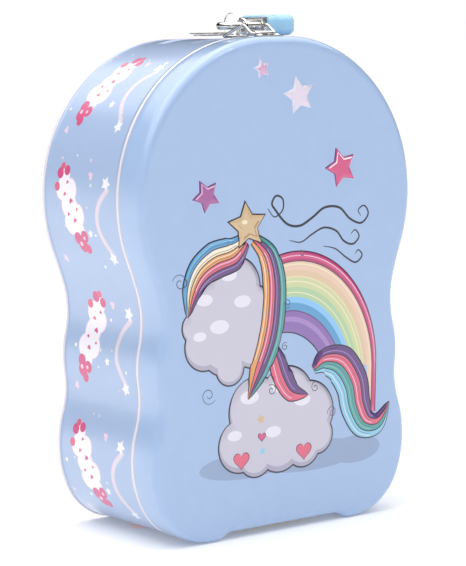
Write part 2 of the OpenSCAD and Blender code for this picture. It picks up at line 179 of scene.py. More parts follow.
def printed_tin(name, colour, mottled):
    """Ink on tinplate under a clear varnish. Wide plain grounds are slightly mottled."""
    mat, bsdf = shade(name)
    base = np.array(linear(colour))
    bsdf.inputs["Base Color"].default_value = (*base, 1)
    if mottled:
        vary_colour(mat, bsdf, noise(mat, 160, 4), base * 0.985, np.minimum(base * 1.015, 1))
    vary_roughness(mat, bsdf, noise(mat, 220), 0.26, 0.36)
    bsdf.inputs["Specular IOR Level"].default_value = 0.45
    bsdf.inputs["Coat Weight"].default_value = 0.7
    bsdf.inputs["Coat Roughness"].default_value = 0.08
    add_bump(mat, bsdf, noise(mat, 900, 2), 0.05, 0.0001)
    return mat


def bare_tin(name):
    """Unprinted tinplate inside the box: bright, faintly spangled and brushed."""
    mat, bsdf = shade(name)
    vary_colour(mat, bsdf, noise(mat, 90, 4), (0.54, 0.54, 0.53), (0.64, 0.64, 0.63))
    bsdf.inputs["Metallic"].default_value = 0.9
    vary_roughness(mat, bsdf, noise(mat, 400, 2, (1, 1, 14)), 0.28, 0.46)
    return mat


def plated_metal(name, low, high, rough=(0.12, 0.3), grain=(1, 1, 1), bump=0.12):
    """Plated or brushed metal with fine scratches and duller worn patches."""
    mat, bsdf = shade(name)
    vary_colour(mat, bsdf, noise(mat, 350, 3), low, high)
    bsdf.inputs["Metallic"].default_value = 1.0
    vary_roughness(mat, bsdf, noise(mat, 700, 4, grain), *rough)
    add_bump(mat, bsdf, noise(mat, 2600, 3, grain), bump, 0.00005)
    return mat


def moulded_plastic(name, colour):
    """Satin plastic that light enters a little, with a fine uneven skin."""
    mat, bsdf = shade(name)
    base = np.array(linear(colour))
    vary_colour(mat, bsdf, noise(mat, 130), base * 0.95, np.minimum(base * 1.05, 1))
    vary_roughness(mat, bsdf, noise(mat, 500), 0.24, 0.36)
    bsdf.inputs["Subsurface Weight"].default_value = 0.12
    bsdf.inputs["Subsurface Radius"].default_value = (0.002, 0.003, 0.004)
    bsdf.inputs["Subsurface Scale"].default_value = 1.0
    add_bump(mat, bsdf, noise(mat, 1500, 2), 0.06, 0.0001)
    return mat


INK = {
    "blue_ground": (164, 189, 226),
    "blue_side": (168, 189, 223),
    "bead": (232, 226, 238),
    "dark": (34, 31, 52),
    # pen lines of the print; the same ink is the painted shade on the neck at the lid's seam
    "pen": (84, 84, 112),
    "pink": (212, 84, 134),
    "pink_light": (240, 196, 220),
    "pink_deep": (178, 66, 116),
    "peach": (232, 200, 180),
    "sand": (222, 196, 164),
    "cream": (240, 226, 196),
    "yellow_green": (205, 212, 164),
    "green": (176, 206, 166),
    "sky": (140, 196, 244),
    "mid_blue": (92, 158, 206),
    "pale_blue": (140, 200, 228),
    "purple": (140, 108, 176),
    "violet": (104, 70, 132),
    "lilac": (166, 134, 196),
    "teal": (84, 160, 160),
    "pale_teal": (134, 196, 196),
    "orange": (228, 160, 100),
    "coral": (222, 100, 128),
    "gold": (212, 184, 146),
    "gold_dark": (176, 142, 104),
    "cloud": (200, 196, 213),
    "cloud_shade": (172, 168, 190),
    "cloud_light": (228, 226, 238),
    "star_rose": (216, 172, 204),
    "star_plum": (166, 96, 156),
    "star_pale": (226, 214, 232),
    "ground_shadow": (146, 166, 200),
    # painted highlight: the pale band round each pressed star, where light catches the raised edge
    "halo": (190, 204, 238),
    "white": (244, 240, 250),
    "pale_pink": (236, 206, 226),
    "pale_peach": (224, 208, 220),
    "pale_cream": (224, 222, 222),
}
GROUNDS = ("blue_ground", "blue_side", "bead")
inks = {name: printed_tin("ink_" + name, colour, name in GROUNDS) for name, colour in INK.items()}
TIN_INSIDE = bare_tin("tin_inside")
NICKEL = plated_metal("nickel", (0.56, 0.54, 0.52), (0.74, 0.72, 0.70), (0.04, 0.12))
STEEL = plated_metal("hinge_steel", (0.50, 0.50, 0.49), (0.66, 0.66, 0.65), (0.22, 0.4), (1, 8, 8))
LOCK_STEEL = plated_metal("lock_steel", (0.66, 0.65, 0.64), (0.8, 0.79, 0.78), (0.2, 0.36))
BRASS = plated_metal("brass", (0.66, 0.47, 0.20), (0.80, 0.61, 0.30), (0.2, 0.36))
LOCK_BLUE = moulded_plastic("lock_plastic", (166, 212, 240))


# ---- Art in the plane of a sheet ---------------------------------------------------
def smooth(points, per_span=8):
    """A Catmull-Rom curve through given points."""
    p = np.array(points, float)
    p = np.concatenate([[2 * p[0] - p[1]], p, [2 * p[-1] - p[-2]]])
    out = []
    for a, b, c, d in zip(p, p[1:], p[2:], p[3:]):
        for t in np.arange(per_span) / per_span:
            out.append(0.5 * (2 * b + (c - a) * t + (2 * a - 5 * b + 4 * c - d) * t * t
                              + (3 * b - a - 3 * c + d) * t ** 3))
    return np.array(out + [p[-2]])


def circle(x, z, r):
    """A circle with a point about every 0.6 mm."""
    count = max(16, int(2 * math.pi * r / 0.6))
    a = np.arange(count) * 2 * math.pi / count
    return np.stack([x + r * np.cos(a), z + r * np.sin(a)], 1)


def ellipse(x, z, rx, rz):
    return (circle(0, 0, rx) * [1, rz / rx]) + [x, z]


def star(x, z, r, turn=0.0):
    """A five-pointed star; turn is the direction of its first point in degrees."""
    a = np.radians(turn + 36 * np.arange(10))
    rad = np.where(np.arange(10) % 2, STAR_WAIST * r, r)
    return np.stack([x + rad * np.cos(a), z + rad * np.sin(a)], 1)


def heart(x, z, size, turn=0.0):
    """A heart from the usual sum of cosines."""
    t = np.linspace(0, 2 * math.pi, 33)[:-1]
    p = np.stack([np.sin(t) ** 3, 0.81 * np.cos(t) - 0.31 * np.cos(2 * t)
                  - 0.125 * np.cos(3 * t) - 0.06 * np.cos(4 * t)], 1) * size
    c, s = math.cos(math.radians(turn)), math.sin(math.radians(turn))
    return p @ np.array([[c, s], [-s, c]]) + [x, z]


def side_steps(path):
    """Unit vectors to the left of a path, one for each of its points."""
    d = np.gradient(path, axis=0)
    d /= np.linalg.norm(d, axis=1)[:, None] + 1e-9
    return np.stack([-d[:, 1], d[:, 0]], 1)


def stripe(path, low, high):
    """The area between two offsets of a path; each offset is an array or a number."""
    side = side_steps(path)
    a = path + side * np.broadcast_to(np.asarray(low, float), len(path))[:, None]
    b = path + side * np.broadcast_to(np.asarray(high, float), len(path))[:, None]
    return np.concatenate([a, b[::-1]])


def stroke(points, width, ends=0.25):
    """A pen line: full width in the middle, tapering to a share of it at the ends."""
    path = smooth(points, 6)
    t = np.linspace(0, 1, len(path))
    half = 0.5 * width * (ends + (1 - ends) * np.sin(math.pi * t) ** 0.6)
    return stripe(path, -half, half)


def curl(x, z, r, turns=1.25, start=0.0, way=1):
    """A small spiral pen line, its centre at (x, z)."""
    t = np.linspace(0, 1, 9 + int(10 * turns))
    a = math.radians(start) + way * 2 * math.pi * turns * t
    rad = r * (0.18 + 0.82 * t)
    return np.stack([x + rad * np.cos(a), z + rad * np.sin(a)], 1)


def ribbon(points, widths, bands, gap=0.38, edge=0.5):
    """A flowing ribbon of coloured bands with dark lines round and between them."""
    path = smooth(points)
    t = np.linspace(0, 1, len(path))
    width = np.interp(t, np.linspace(0, 1, len(widths)), widths)
    line = np.minimum(edge, 0.25 * width)
    shapes = [("dark", stripe(path, -0.5 * width - line, 0.5 * width + line))]
    share = 1 / len(bands)
    thin = np.minimum(gap, 0.12 * width)
    for i, ink in enumerate(bands):
        low = (i * share - 0.5) * width + (thin / 2 if i else 0)
        high = ((i + 1) * share - 0.5) * width - (thin / 2 if i < len(bands) - 1 else 0)
        shapes.append((ink, stripe(path, low, high)))
        inner = slice(len(path) // 8, -len(path) // 5)
        for share_in, streak, thick in ((0.34, LIGHTER.get(ink, "cream"), 0.3), (0.68, "pen", 0.16)):
            mid = (low + (high - low) * share_in)[inner]
            shapes.append((streak, stripe(path[inner], mid - thick / 2, mid + thick / 2)))
    return shapes


LIGHTER = {"coral": "pink_light", "teal": "pale_teal", "violet": "lilac", "mid_blue": "pale_blue",
           "pale_blue": "cloud_light", "orange": "cream", "cream": "white"}


def puffs(circles, edge=0.6):
    """A cloud from circles: dark line, shaded rim and lighter middle."""
    shapes = [("dark", circle(x, z, r + edge)) for x, z, r in circles]
    shapes += [("cloud_shade", circle(x, z, r)) for x, z, r in circles]
    shapes += [("cloud", circle(x - 0.07 * r, z + 0.1 * r, 0.9 * r)) for x, z, r in circles]
    shapes += [("cloud_light", ellipse(x - 0.3 * r, z + 0.45 * r, 0.34 * r, 0.2 * r))
               for x, z, r in circles if r > 8]
    return shapes


def pressed_star(x, z, r, fill, rim, shine, turn):
    """A star with a pale band of painted highlight round it for the lit edge of its pressing, a thin
    dark rim, and a bright line inside its upper left that is printed and also painted highlight on the
    relief.
    """
    # painted highlight: the pale band just outside the star's raised edge
    shapes = [("halo", star(x, z, r + 0.5, turn)), (rim, star(x, z, r, turn)),
              (fill, star(x + 0.2, z - 0.15, r - 0.55, turn))]
    # printed highlight line that is also painted highlight: it lies only on the upper left, where light
    # falls on the relief
    inner = star(x + 0.1, z - 0.1, 0.76 * r, turn)
    lit = np.array([inner[-k % 10] for k in range(5)])
    shapes.append((shine, stripe(lit, -0.035 * r, 0.035 * r)))
    return shapes


# The rainbow lies between two arches, each with its centre and its half sizes. Its bands
# start at shares of the way from the outer arch to the inner one.
RAINBOW_OUTER = np.array([6.0, 60.0, 38.3, 43.4])
RAINBOW_INNER = np.array([0.0, 45.0, 22.0, 28.5])
RAINBOW = [
    # the thin pink_light band inside the outer pink is printed and also painted highlight, for the gloss
    # on the raised band
    (0.0, "dark"), (0.012, "pink_deep"), (0.03, "pink"), (0.05, "pink_light"), (0.062, "pink"),
    (0.09, "pink_deep"), (0.12, "dark"), (0.13, "peach"), (0.155, "cream"), (0.17, "peach"),
    (0.235, "sand"), (0.31, "cream"), (0.32, "yellow_green"), (0.365, "cream"), (0.38, "yellow_green"),
    (0.44, "green"), (0.50, "cream"), (0.512, "green"), (0.56, "sky"), (0.63, "mid_blue"),
    (0.72, "violet"), (0.735, "purple"), (0.80, "lilac"), (0.86, "purple"), (0.985, "dark"),
]
RAINBOW_LEFT = 112
RAINBOW_DIP = 32
RAINBOW_LEG_Z = 39.5


def arch(share):
    """The rainbow's line at a share from outer to inner: right foot up and over to the left."""
    x, z, rx, rz = RAINBOW_OUTER + (RAINBOW_INNER - RAINBOW_OUTER) * share
    start = max(0, RAINBOW_DIP * (share - 0.2) / 0.8)
    a = np.radians(np.linspace(start, RAINBOW_LEFT, 72))
    top = np.stack([x + rx * np.cos(a), z + rz * np.sin(a)], 1)
    foot = [x + rx - 0.8, RAINBOW_LEG_Z] if share < 0.2 else top[0]
    return np.concatenate([[foot], top])


# Clouds, as circles of (x, z, radius)
UPPER_CLOUD = [(-36, 72, 8.5), (-33, 84, 10.5), (-22, 92, 11), (-16, 82, 11), (-26, 73, 12.5),
               (-15, 70, 7.5), (-40, 79, 5.5), (-25, 63, 6)]
LOWER_CLOUD = [(-21, 34, 9.5), (-13, 46, 12.5), (1, 49, 12), (11, 43, 11.5), (-14, 29.5, 7.5),
               (-3, 33, 10.5), (8, 31, 8), (15, 34, 7)]
# Stars, as (x, z, radius, fill, rim, bright line, turn); the bright line is printed and also painted
# highlight on the relief's lit upper left
STARS = [
    (-8.2, 170.0, 3.6, "star_rose", "star_pale", "cloud_light", 176),
    (8.7, 160.0, 7.0, "star_pale", "cloud_light", "cloud_light", 174),
    (27.9, 132.9, 7.9, "pink", "violet", "white", 180),
    (-34.1, 125.7, 6.5, "star_plum", "violet", "pink_light", 190),
]
GOLD_STAR = (-16.0, 114.0, 8.4)
# Ribbons, as the points of their middle line and widths spread evenly along it
SIDE_PATH = [(13.6, 58.5), (19, 61), (26.5, 59), (31.8, 51.5), (33.6, 43), (37.6, 36), (44.6, 35.2),
             (50.5, 42.5)]
SIDE_WIDTH = [2.5, 10, 14.5, 14.5, 13.5, 11.5, 7.5, 0.4]
LONG_PATH = [(-13, 109), (-7, 103), (-4.5, 94), (-4.8, 83), (-7, 72), (-12, 61), (-17.5, 51)]
LONG_WIDTH = [4, 8, 9.5, 10, 10, 8, 0.4]
LOW_PATH = [(-5.5, 71), (-3.5, 64), (-1, 57), (3, 51.5), (10.5, 49.5)]
LOW_WIDTH = [2, 7, 8.5, 7, 0.4]
FRONT_PATH = [(-17, 109), (-23, 104.5), (-31, 102.5), (-37.5, 98.5), (-41.5, 92), (-43.5, 83)]
FRONT_WIDTH = [5, 12, 13, 11, 7.5, 0.4]


def face_art():
    """Every printed shape of the lid face, from the lowest to the topmost."""
    art = [("ground_shadow", ellipse(-18, 26.8, 21.5, 5)), ("ground_shadow", ellipse(12, 26.5, 26, 5.6)),
           ("ground_shadow", ellipse(33, 26.3, 12.5, 5.2))]
    for i, (share, ink) in enumerate(RAINBOW):
        end = RAINBOW[i + 1][0] if i + 1 < len(RAINBOW) else 1
        art.append((ink, np.concatenate([arch(share), arch(end)[::-1]])))
    art += ribbon(SIDE_PATH, SIDE_WIDTH, ["pale_blue", "teal", "coral", "violet"])
    art += puffs(LOWER_CLOUD)
    art += ribbon(LOW_PATH, LOW_WIDTH, ["coral", "violet"])
    art += puffs(UPPER_CLOUD)
    art += ribbon(LONG_PATH, LONG_WIDTH, ["orange", "coral", "violet", "teal"])
    art += ribbon(FRONT_PATH, FRONT_WIDTH, ["mid_blue", "cream", "orange", "coral", "violet"])
    x, z, r = GOLD_STAR
    art += [("dark", star(x, z, r + 1.0, 96)), ("gold", star(x, z, r, 96)),
            ("gold_dark", star(x + 0.5, z - 0.6, 0.62 * r, 96)),
            ("gold", star(x, z, 0.6 * r, 96)), ("cream", ellipse(x - 1.6, z + 1.4, 1.3, 0.8))]
    for entry in STARS:
        art += pressed_star(*entry)
    for x, z, size, ink in [(-21, 29, 3.4, "coral"), (8, 29, 3.4, "coral"), (-11.5, 36.5, 1.6, "pink")]:
        art += [("dark", heart(x, z, size + 0.3)), (ink, heart(x, z, size))]
    for x, z, r, ink in [(-11.8, 43, 2.0, "gold"), (-11.4, 31.2, 1.7, "pale_blue")]:
        art += [(ink, star(x, z, r, 100))]
    for points, width in FLOURISH:
        art.append(("dark", stroke(points, width)))
    for x, z, r, start, way in SWIRLS:
        art.append(("pen", stroke(curl(x, z, r, 1.35, start, way), 0.36, 0.6)))
    return art


# Pen flourishes above the rainbow, as (points, width): long waves and scrolls, no letters
FLOURISH = [
    ([(-6.6, 119.6), (-3.6, 116.4), (0.2, 118.6), (0.4, 122.6), (-2.6, 124), (-4.6, 121.4), (-3.2, 119),
      (2, 113.6), (8, 112.4), (14, 115), (20, 118.4), (27, 118), (32, 113.6), (37.5, 111.6),
      (41, 114.8), (39.2, 118), (36.2, 116.6), (37.4, 114.2)], 0.95),
    ([(3, 107.4), (8.6, 106.4), (14, 109), (19.6, 111), (25.4, 109.4), (29, 105.4), (33.4, 104),
      (36.4, 106.6), (34.6, 109.2), (32.4, 107.8)], 0.8),
    ([(19, 104.2), (24.8, 102.8), (30, 99.2), (34.6, 97), (37.8, 99.4), (36, 101.6),
      (34.4, 100.2)], 0.7),
]
# Small spirals, as (x, z, radius, start in degrees, way round)
SWIRLS = [(-46.2, 95.6, 3.4, 40, 1), (-34.7, 54.2, 3.4, 200, 1), (1.6, 84.5, 1.9, 180, 1),
          (0.4, 68.5, 1.6, 180, -1), (-6.6, 53.2, 2.2, 0, 1), (13.8, 52.0, 1.9, 200, -1),
          (22.0, 41.6, 2.6, 60, 1), (8.6, 102.2, 1.2, 20, 1)]


def inside(points, loop):
    """Non-zero winding test of points against a closed loop."""
    wind = np.zeros(len(points), int)
    near = ((points >= loop.min(0)) & (points <= loop.max(0))).all(1).nonzero()[0]
    p = points[near]
    a, b = loop, np.roll(loop, -1, 0)
    total = np.zeros(len(p), int)
    for (ax, az), (bx, bz) in zip(a, b):
        cross = (bx - ax) * (p[:, 1] - az) - (p[:, 0] - ax) * (bz - az)
        total += ((az <= p[:, 1]) & (bz > p[:, 1]) & (cross > 0)).astype(int)
        total -= ((az > p[:, 1]) & (bz <= p[:, 1]) & (cross < 0)).astype(int)
    wind[near] = total
    return wind != 0


def edge_distance(points, loop):
    """Distance of each point from a closed loop's edges."""
    best = np.full(len(points), 1e9)
    for a, b in zip(loop, np.roll(loop, -1, 0)):
        ab = b - a
        t = np.clip((points - a) @ ab / (ab @ ab + 1e-12), 0, 1)
        best = np.minimum(best, np.linalg.norm(points - (a + t[:, None] * ab), axis=1))
    return best


def ramp(value, width):
    """Rises smoothly from 0 to 1 over a width."""
    t = np.clip(value / width, 0, 1)
    return t * t * (3 - 2 * t)


def pressed_height(points):
    """How far the lid's art is pressed out at each (x, z), in millimetres."""
    height = np.zeros(len(points))

    def press(loop, amount, width):
        k = inside(points, loop).nonzero()[0]
        if len(k):
            height[k] = np.maximum(height[k], amount * ramp(edge_distance(points[k], loop), width))

    for x, z, r, *_, turn in STARS:
        press(star(x, z, r + 0.5, turn), 0.7, 1.2)
    press(star(*GOLD_STAR[:2], GOLD_STAR[2] + 1, 96), 0.6, 1.3)
    press(np.concatenate([arch(0), arch(1)[::-1]]), 0.6, 1.6)
    for x, z, r in UPPER_CLOUD + LOWER_CLOUD:
        press(circle(x, z, r + 0.5), 0.68, 2.6)
    for path, width in ((SIDE_PATH, SIDE_WIDTH), (LONG_PATH, LONG_WIDTH), (FRONT_PATH, FRONT_WIDTH),
                        (LOW_PATH, LOW_WIDTH)):
        path = smooth(path)
        half = 0.5 * np.interp(np.linspace(0, 1, len(path)), np.linspace(0, 1, len(width)), width)
        press(stripe(path, -half - 0.4, half + 0.4), 0.66, 1.4)
    return height


def painted_sheet(border, art, pitch, ground):
    """Triangles inside border with every art edge cut in. Returns (points, faces,
    ink name of each face); the border's points come first and in order."""
    low, high = border.min(0), border.max(0)
    gx, gz = np.meshgrid(np.arange(low[0], high[0], pitch), np.arange(low[1], high[1], pitch))
    grid = np.stack([gx.ravel(), gz.ravel()], 1)
    grid = grid[inside(grid, border)]
    grid = grid[edge_distance(grid, border) > 0.5 * pitch]
    points, edges = [tuple(p) for p in border], []
    edges += [(i, (i + 1) % len(border)) for i in range(len(border))]
    for _, loop in art:
        first = len(points)
        points += [tuple(p) for p in loop]
        edges += [(first + i, first + (i + 1) % len(loop)) for i in range(len(loop))]
    points += [tuple(p) for p in grid]
    made = geometry.delaunay_2d_cdt([Vector(p) for p in points], edges, [], 0, 1e-5, True)
    verts = np.array([tuple(v) for v in made[0]])
    faces = np.array(made[2])
    centres = verts[faces].mean(1)
    keep = inside(centres, border)
    faces, centres = faces[keep], centres[keep]
    names = np.full(len(faces), -1)
    for i, (_, loop) in enumerate(art):
        names[inside(centres, loop)] = i
    return verts, faces, [ground if n < 0 else art[n][0] for n in names]


# ---- Mesh building ------------------------------------------------------------------
def new_piece(name, verts, faces, mats, indices, body):
    """A mesh object from millimetre points, riding on a body."""
    mesh = bpy.data.meshes.new(name)
    mesh.from_pydata([tuple(float(c) * MM for c in v) for v in verts], [],
                     [tuple(int(i) for i in f) for f in faces])
    for mat in mats:
        mesh.materials.append(mat)
    mesh.polygons.foreach_set("material_index", np.asarray(indices, np.int32))
    bm = bmesh.new()
    bm.from_mesh(mesh)
    bmesh.ops.remove_doubles(bm, verts=bm.verts, dist=1e-6)
    loose = [v for v in bm.verts if not v.link_faces]
    bmesh.ops.delete(bm, geom=loose, context="VERTS")
    bmesh.ops.recalc_face_normals(bm, faces=bm.faces)
    bm.to_mesh(mesh)
    bm.free()
    mesh.polygons.foreach_set("use_smooth", [True] * len(mesh.polygons))
    mesh.update()
    piece = bpy.data.objects.new(name, mesh)
    bpy.context.scene.collection.objects.link(piece)
    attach(piece, body)
    return piece


def apply_modifiers(piece):
    """Puts the result of a piece's modifiers into its mesh."""
    depsgraph = bpy.context.evaluated_depsgraph_get()
    mesh = bpy.data.meshes.new_from_object(piece.evaluated_get(depsgraph))
    piece.modifiers.clear()
    old, piece.data = piece.data, mesh
    bpy.data.meshes.remove(old)


def thicken(piece, inner_slot):
    """Gives a skin the tin's thickness on its inner side."""
    mod = piece.modifiers.new("thick", "SOLIDIFY")
    mod.thickness = TIN * MM
    mod.offset = -1
    mod.material_offset = inner_slot
    mod.material_offset_rim = inner_slot
    mod.use_even_offset = True
    apply_modifiers(piece)


def split_print(piece, name, mats):
    """Moves the faces with plain inks to a piece of their own, and returns it. The ground
    keeps a mottled colour, while the print's edges stay as sharp as the mesh."""
    plain = [i for i, mat in enumerate(mats) if mat != TIN_INSIDE and mat.name[4:] not in GROUNDS]
    other = piece.copy()
    other.data = piece.data.copy()
    other.name = name
    bpy.context.scene.collection.objects.link(other)
    for owner, wanted in ((piece, False), (other, True)):
        bm = bmesh.new()
        bm.from_mesh(owner.data)
        drop = [f for f in bm.faces if (f.material_index in plain) != wanted]
        bmesh.ops.delete(bm, geom=drop, context="FACES")
        bm.to_mesh(owner.data)
        bm.free()
    return other


def band(profile, step=2.0):
    """Rings of the outline, one for each (inset, y), joined into a skin."""
    rings = [outline(inset, step) for inset, _ in profile]
    n = len(rings[0])
    verts = [(x, y, z) for (_, y), ring in zip(profile, rings) for x, z in ring]
    faces = [(r * n + i, r * n + (i + 1) % n, (r + 1) * n + (i + 1) % n, (r + 1) * n + i)
             for r in range(len(profile) - 1) for i in range(n)]
    return verts, faces


def edge_profile(y, r, count):
    """A quarter round from the face at inset r to the side at inset 0."""
    return [(r * (1 - math.cos(a)), y + r * (1 - math.sin(a)))
            for a in np.linspace(math.pi / 2, 0, count + 1)]


def merge_sheets(*sheets):
    """Joins (verts, faces, indices) lists into one."""
    verts, faces, indices = [], [], []
    for v, f, k in sheets:
        first = len(verts)
        verts += list(v)
        faces += [tuple(i + first for i in face) for face in f]
        indices += list(k)
    return verts, faces, indices


# ---- Lid ----------------------------------------------------------------------------
def make_lid():
    """The pressed front with its art, a rounded edge and the skirt curled in at its rim."""
    border = outline(LID_EDGE_R)
    points, faces, names = painted_sheet(border, face_art(), 0.9, "blue_ground")
    height = pressed_height(points)
    used = sorted(set(names) | {"blue_ground"})
    slot = {name: i for i, name in enumerate(used)}
    face = ([(x, FACE_Y - h, z) for (x, z), h in zip(points, height)], faces,
            [slot[n] for n in names])
    profile = edge_profile(FACE_Y, LID_EDGE_R, 8)
    profile += [(0, FACE_Y + 5), (0, RIM_Y - 4), (0, RIM_Y - 0.7)]
    profile += [(0.06, RIM_Y - 0.35), (0.2, RIM_Y - 0.1), (0.38, RIM_Y)]
    verts, quads = band(profile)
    skirt = (verts, quads, [slot["blue_ground"]] * len(quads))
    verts, faces, indices = merge_sheets(face, skirt)
    mats = [inks[n] for n in used] + [TIN_INSIDE]
    piece = new_piece("lid", verts, faces, mats, indices, "lid")
    thicken(piece, len(mats) - 1)
    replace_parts(piece, "lid_shell")
    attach(split_print(piece, "lid_print", mats), "lid")


# ---- Box ------------------------------------------------------------------------------
SLOT_Y = 17.0
SLOT_HALF_LEN, SLOT_HALF_W = 18.0, 2.5


def side_art(length):
    """Shapes printed round the wall, in (distance along the wall, y), in repeats of about
    47 mm. The one at the top of the box is left out for the coin slot and padlock."""
    rng = np.random.default_rng(4)
    art = []
    count = round(length / 47)
    for i in range(count):
        s = (i + 0.5) * length / count
        if abs(s - length / 2) < 26:
            continue
        art += side_cloud(s, 13.5, 24 if i % 2 else -16)
        bow = smooth([(s - 16, -10), (s - 7, -4.5), (s + 1, -5.5), (s + 7, -11.5)])
        for k, ink in enumerate(("pale_peach", "pale_cream", "pale_pink")):
            art.append((ink, stripe(bow, 0.75 * k, 0.75 * k + 0.65)))
        art += [("white", star(s - 18, -8.5, 2.7, 20)), ("white", star(s + 9.5, -9.0, 2.9, 50)),
                ("white", star(s - 9, 2.5, 1.7, 10)), ("pale_pink", heart(s + 12, 1, 1.6, 30)),
                ("pale_pink", heart(s - 20, 24, 1.5, 200))]
        for _ in range(9):
            x, y = s + rng.uniform(-22, 22), rng.uniform(-13, 29)
            ink = ("pale_cream", "pale_peach", "white")[rng.integers(0, 3)]
            art.insert(0, (ink, circle(x, y, rng.uniform(0.4, 0.8))))
    return art


# The wall's cloud, as (ink, circles, how much they are grown)
PUFFS = [(-9, 0, 3.6), (-5, 2.6, 4.2), (-4, -2.6, 4.0), (1, 0.6, 4.8), (6, -2, 4.2), (8, 2.4, 3.8),
         (12, -0.5, 3.2)]
CLOUD_PARTS = [
    ("pale_pink", PUFFS, 0.4),
    ("white", PUFFS, 0),
    ("pink", [(-14.5, 1.4, 2.7), (-12.2, -1.8, 2.3), (-11.2, 2.6, 2.4), (-16.8, -0.6, 1.9)], 0),
    ("pink_light", [(-13.6, 2.2, 0.9), (-12.6, -1.2, 0.7)], 0),
    ("pink", [(14.4, 1.8, 2.1), (13.6, -2.6, 1.9)], 0),
    ("coral", [(10.4, 5.2, 1.7), (16.2, -0.4, 1.4)], 0),
]


def side_cloud(s, y, turn):
    """A long pink and white cloud with small hearts, turned in its own plane."""
    c, d = math.cos(math.radians(turn)), math.sin(math.radians(turn))

    def place(a, b):
        return s + a * c - b * d, y + a * d + b * c

    art = [(ink, circle(*place(a, b), r + grown)) for ink, parts, grown in CLOUD_PARTS
           for a, b, r in parts]
    for a, b, size, ink in ((-5, 0, 1.1, "coral"), (-1.5, 2.6, 0.8, "pink"), (2.2, -1.2, 1.2, "pink"),
                            (6, 1.6, 0.9, "coral"), (9.4, -1.6, 0.8, "pink"), (-2, -3.4, 0.7, "coral")):
        art.append((ink, heart(*place(a, b), size, turn + 90)))
    return art


def make_wall():
    """The printed wall with its coin slot, the bead and neck in front and the rim behind."""
    wall, used, slot = printed_wall()
    verts, faces, indices = merge_sheets(wall, neck_and_bead(slot, len(used)), rolled_rim(slot))
    mats = [inks[n] for n in used] + [TIN_INSIDE]
    piece = new_piece("wall", verts, faces, mats, indices, "box")
    thicken(piece, len(mats) - 1)
    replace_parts(piece, "base_wall")
    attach(split_print(piece, "wall_print", mats), "box")


def printed_wall():
    """The wall's skin, painted flat and wrapped round the outline from the middle of the
    recess. Returns it with the names of its inks and their material indices."""
    loop = outline(WALL_IN)
    loop = np.roll(loop, -(len(loop) // 2), 0)
    closed = np.concatenate([loop, loop[:1]])
    along = np.concatenate([[0], np.cumsum(np.linalg.norm(np.diff(closed, axis=0), axis=1))])
    length = along[-1]
    front, back = np.full(len(along), BEAD_Y + BEAD_W), np.full(len(along), BACK_Y - RIM_W)
    border = np.concatenate([np.stack([along, front], 1), np.stack([along, back], 1)[::-1]])
    corners = [(-1, -1), (1, -1), (1, 1), (-1, 1)]
    coin_slot = np.array([length / 2, SLOT_Y]) + np.array(corners) * [SLOT_HALF_LEN, SLOT_HALF_W]
    art = side_art(length) + [("slot", coin_slot)]
    points, faces, names = painted_sheet(border, art, 1.3, "blue_side")
    # the pen ink is here also for the painted shade on the neck, in the lid's seam
    used = sorted(set(names) - {"slot"} | {"blue_side", "bead", "pen"})
    slot = {name: i for i, name in enumerate(used)}
    x = np.interp(points[:, 0], along, closed[:, 0])
    z = np.interp(points[:, 0], along, closed[:, 1])
    keep = [i for i, n in enumerate(names) if n != "slot"]
    sheet = (np.stack([x, points[:, 1], z], 1), faces[keep], [slot[names[i]] for i in keep])
    return sheet, used, slot


def neck_and_bead(slot, bare):
    """The bare neck inside the lid, a band of painted shade where the lid's seam lies in shadow, and the
    bead.
    """
    profile = [(NECK_IN, BEAD_Y - NECK_LEN), (NECK_IN, BEAD_Y - 0.9), (NECK_IN, BEAD_Y - 0.1)]
    profile += [(WALL_IN * (1 - math.sin(a)), BEAD_Y + 0.5 * BEAD_W * (1 - math.cos(a)))
                for a in np.linspace(0.2, math.pi - 0.01, 9)]
    profile.append((WALL_IN, BEAD_Y + BEAD_W))
    verts, faces = band(profile)
    indices = []
    for face in faces:
        y = [verts[i][1] for i in face]
        if max(y) < BEAD_Y - 0.8:
            indices.append(bare)
        # painted shade: the last 0.9 mm of the neck in front of the bead is dark ink, for the shadow in
        # the lid's seam
        elif max(y) < BEAD_Y + 0.01:
            indices.append(slot["pen"])
        else:
            indices.append(slot["bead"])
    return verts, faces, indices


def rolled_rim(slot):
    """The wall's rear edge, rolled out and over the back sheet."""
    profile = [(WALL_IN, BACK_Y - RIM_W)]
    profile += [(WALL_IN * (1 - math.sin(a)), BACK_Y - 0.5 * RIM_W * (1 + math.cos(a)))
                for a in np.linspace(0.1, math.pi / 2, 6)]
    profile += [(0.75 - 0.75 * math.cos(a), BACK_Y - 0.75 + 0.75 * math.sin(a))
                for a in np.linspace(0.2, math.pi - 0.2, 9)]
    profile.append((1.5, BACK_Y - 1.2))
    verts, faces = band(profile)
    return verts, faces, [slot["bead"]] * len(faces)


def make_back():
    """The sunk tray of the back, with a softly pressed step round its middle."""
    y0 = BACK_Y - RIM_W - 0.4
    border = outline(6.6)
    points, faces, _ = painted_sheet(border, [], 4.0, "blue_side")
    middle = ([(x, y0 - 0.6, z) for x, z in points], faces, [0] * len(faces))
    profile = [(0.9, y0 - 2.4), (0.9, y0 - 0.5), (1.05, y0 - 0.12), (1.4, y0), (4.2, y0),
               (4.7, y0 - 0.08), (5.1, y0 - 0.3), (5.5, y0 - 0.52), (6.0, y0 - 0.6), (6.6, y0 - 0.6)]
    verts, quads = band(profile)
    verts, faces, indices = merge_sheets((verts, quads, [0] * len(quads)), middle)
    piece = new_piece("back", verts, faces, [inks["blue_side"], TIN_INSIDE], indices, "box")
    turn_outwards(piece, 1)
    thicken(piece, 1)
    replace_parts(piece, "back_panel")


def turn_outwards(piece, sign):
    """Turns every face over if most of them look away from the given side along Y."""
    total = sum(f.normal.y * f.area for f in piece.data.polygons)
    if total * sign < 0:
        piece.data.flip_normals()


